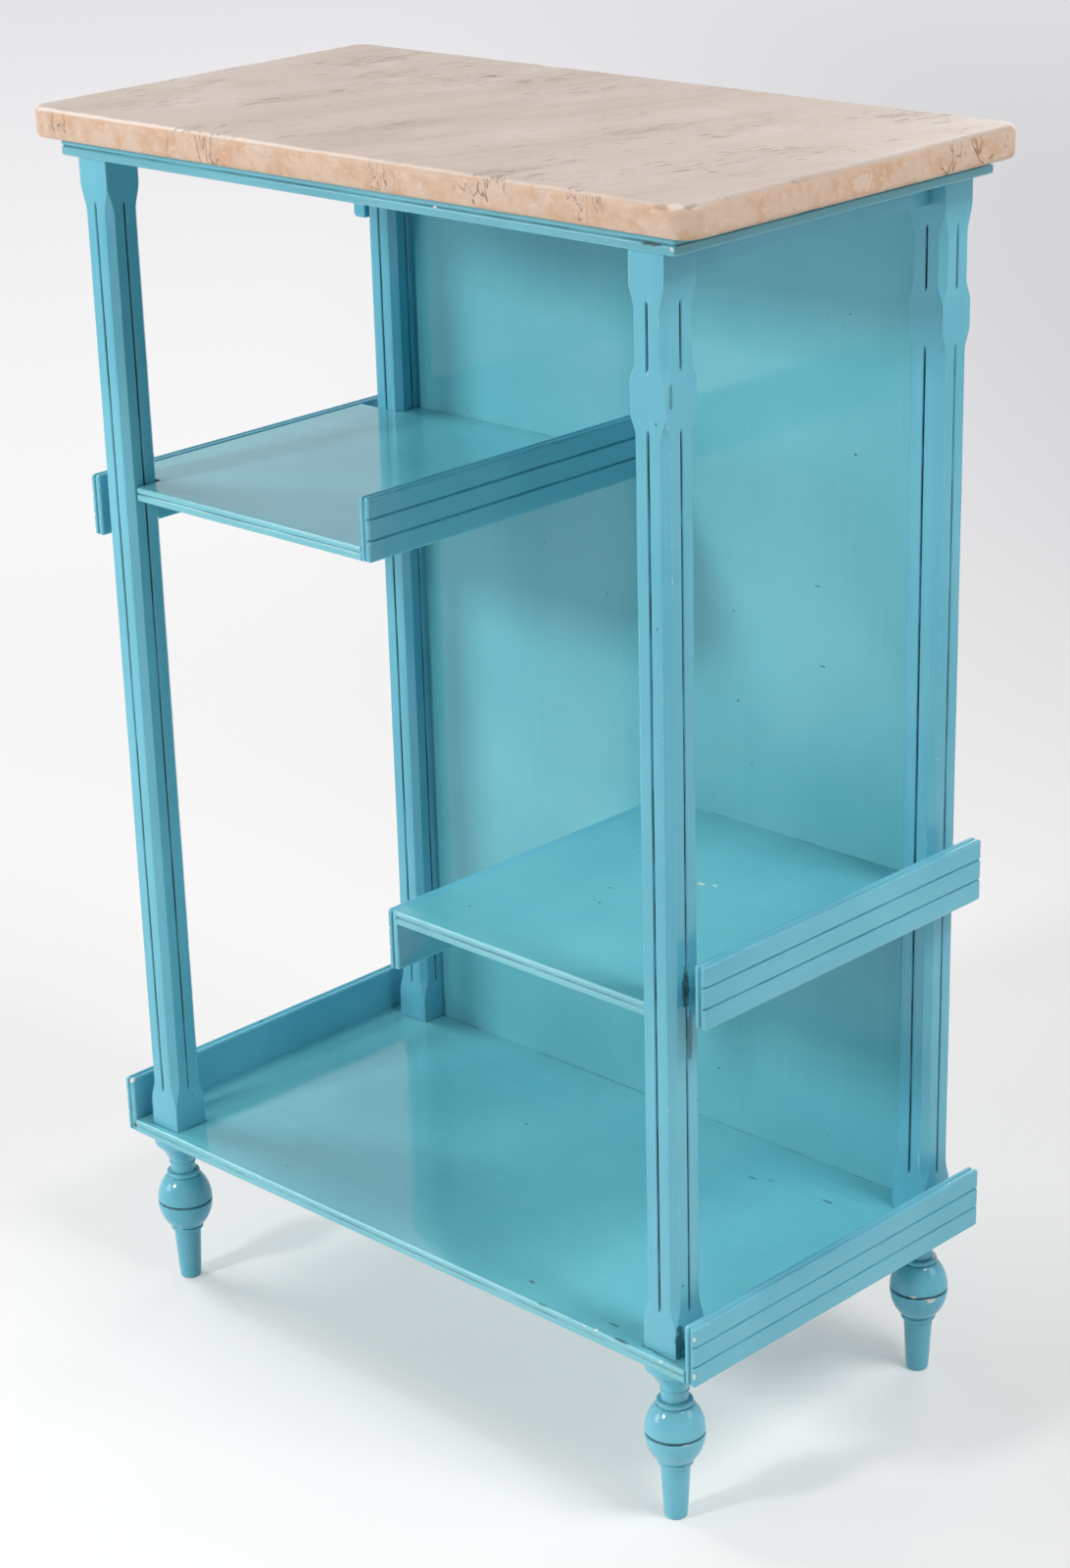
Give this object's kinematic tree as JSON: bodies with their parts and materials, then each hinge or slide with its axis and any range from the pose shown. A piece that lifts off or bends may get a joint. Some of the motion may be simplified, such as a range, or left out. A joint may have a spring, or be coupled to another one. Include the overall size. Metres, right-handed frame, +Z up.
{
  "type": "curio shelf",
  "caption": "Open painted wooden curio shelf with a stone slab top, staggered half shelves with reeded end galleries, chamfered posts, a back panel and turned ball feet.",
  "frame": {"origin": "on the floor under the middle of the slab", "axes": "+X to the right along the front, +Y to the back, +Z up"},
  "size_m": [0.6012, 0.316, 0.9004],
  "materials": {
    "paint": "glossy turquoise enamel brushed on wood, with grime in the grooves and chips on the edges",
    "travertine": "honed beige travertine with veins and open pits, rounded and lightly chipped edges",
    "steel": "plain steel, slightly dulled",
    "dowel_wood": "bare beech"
  },
  "bodies": {
    "root": {"front_left_post": "paint", "front_right_post": "paint", "rear_left_post": "paint", "rear_right_post": "paint", "front_left_foot": "paint", "front_right_foot": "paint", "rear_left_foot": "paint", "rear_right_foot": "paint", "base_board": "paint", "base_left_gallery": "paint", "base_right_gallery": "paint", "upper_left_shelf": "paint", "upper_left_shelf_outer_gallery": "paint", "upper_left_shelf_inner_gallery": "paint", "lower_right_shelf": "paint", "lower_right_shelf_inner_gallery": "paint", "lower_right_shelf_outer_gallery": "paint", "back_panel": "paint", "right_top_rail": "paint", "rear_left_cleat": "paint", "sub_top_board": "paint", "stone_top": "travertine", "sub_top_screws": "steel", "shelf_back_screws": "steel", "back_panel_pins": "steel", "cleat_screws": "steel", "rail_dowels": "dowel_wood", "base_gallery_dowels": "dowel_wood", "upper_left_shelf_dowels": "dowel_wood", "lower_right_shelf_dowels": "dowel_wood", "shelf_post_dowels": "dowel_wood"}
  },
  "joints": []
}
